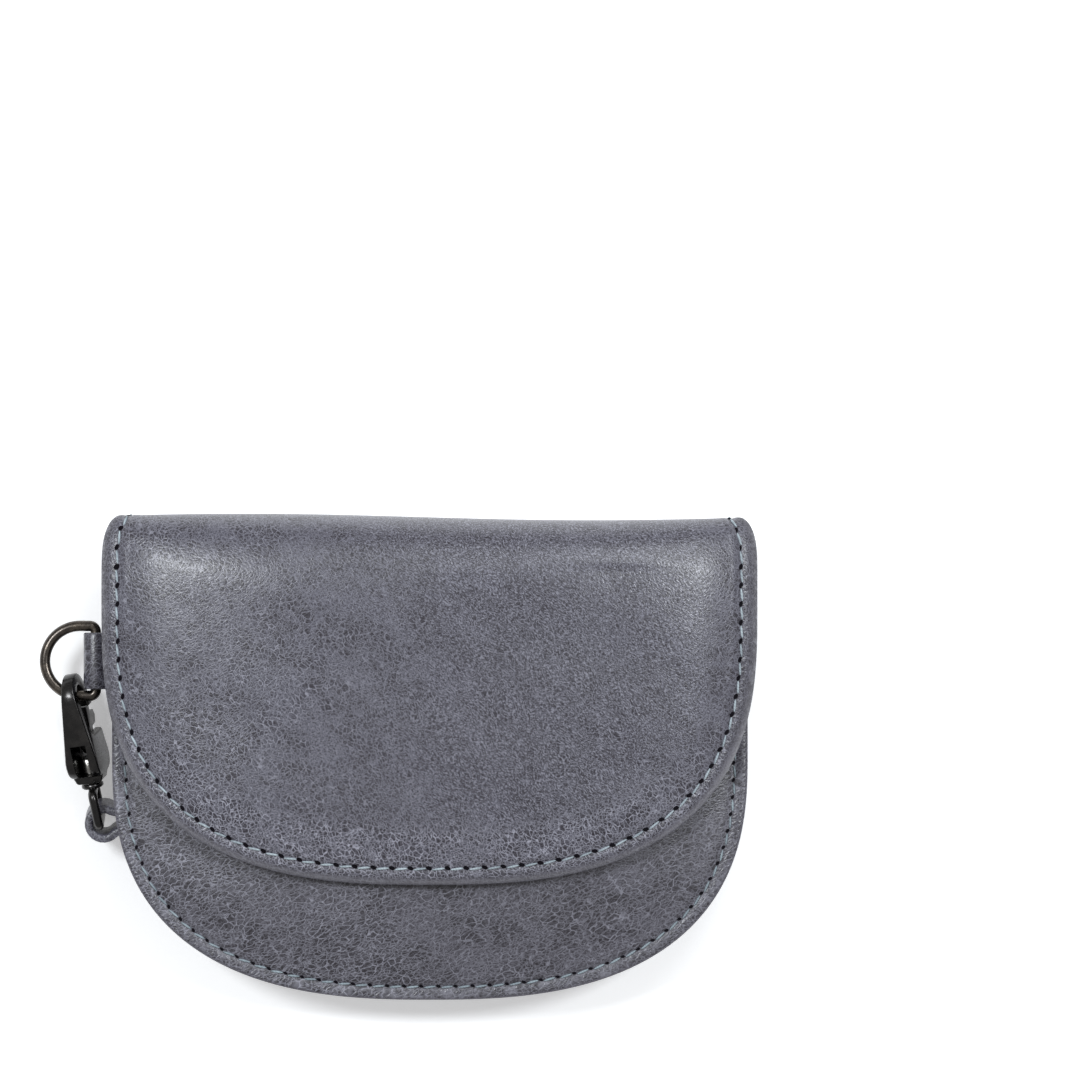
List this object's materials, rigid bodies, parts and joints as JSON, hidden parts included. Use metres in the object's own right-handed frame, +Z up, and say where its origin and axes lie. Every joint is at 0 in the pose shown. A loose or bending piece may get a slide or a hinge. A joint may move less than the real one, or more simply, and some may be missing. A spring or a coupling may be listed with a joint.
{
  "type": "wristlet",
  "caption": "Half-moon leather wristlet purse, closed flap with press snap, zip pocket and open front pocket, D ring, trigger hook and a leather wrist strap loop.",
  "frame": {"origin": "on the surface it lies on, under the middle of the whole object", "axes": "+X across the purse, away from the ring; +Y towards its fold; +Z up, out of its front"},
  "size_m": [0.1546, 0.1046, 0.0321],
  "materials": {
    "leather": "soft grained, slightly waxy",
    "net": "fine net",
    "tape": "woven tape",
    "coil": "moulded coil",
    "bronze": "dark bronze plating",
    "pewter": "antique pewter plating",
    "gunmetal": "polished gunmetal plating"
  },
  "bodies": {
    "purse": {"back_flap": "leather", "fold_lining": "leather", "flap_lining": "leather", "window_mesh": "net", "front_panel": "leather", "pocket_panel": "leather", "zip_tape_back": "tape", "zip_tape_front": "tape", "zip_coil": "coil", "zip_slider": "bronze", "zip_pull_link": "bronze", "zip_pull_tab": "leather", "snap_socket": "pewter", "snap_stud": "pewter", "ring_tab": "leather", "d_ring": "bronze", "hook_body": "gunmetal", "hook_swivel": "gunmetal", "wrist_strap": "leather"},
    "gate": {"hook_gate": "gunmetal"}
  },
  "joints": [
    {"name": "gate_hinge", "type": "hinge", "parent": "purse", "child": "gate", "pos_m": [-0.06715, 0.00235, 0.0072], "axis": [0.9677, 0.1474, 0.2045], "range_deg": [0, 35], "stiffness_Nm_per_rad": 0.004, "springref_deg": -17.19}
  ]
}
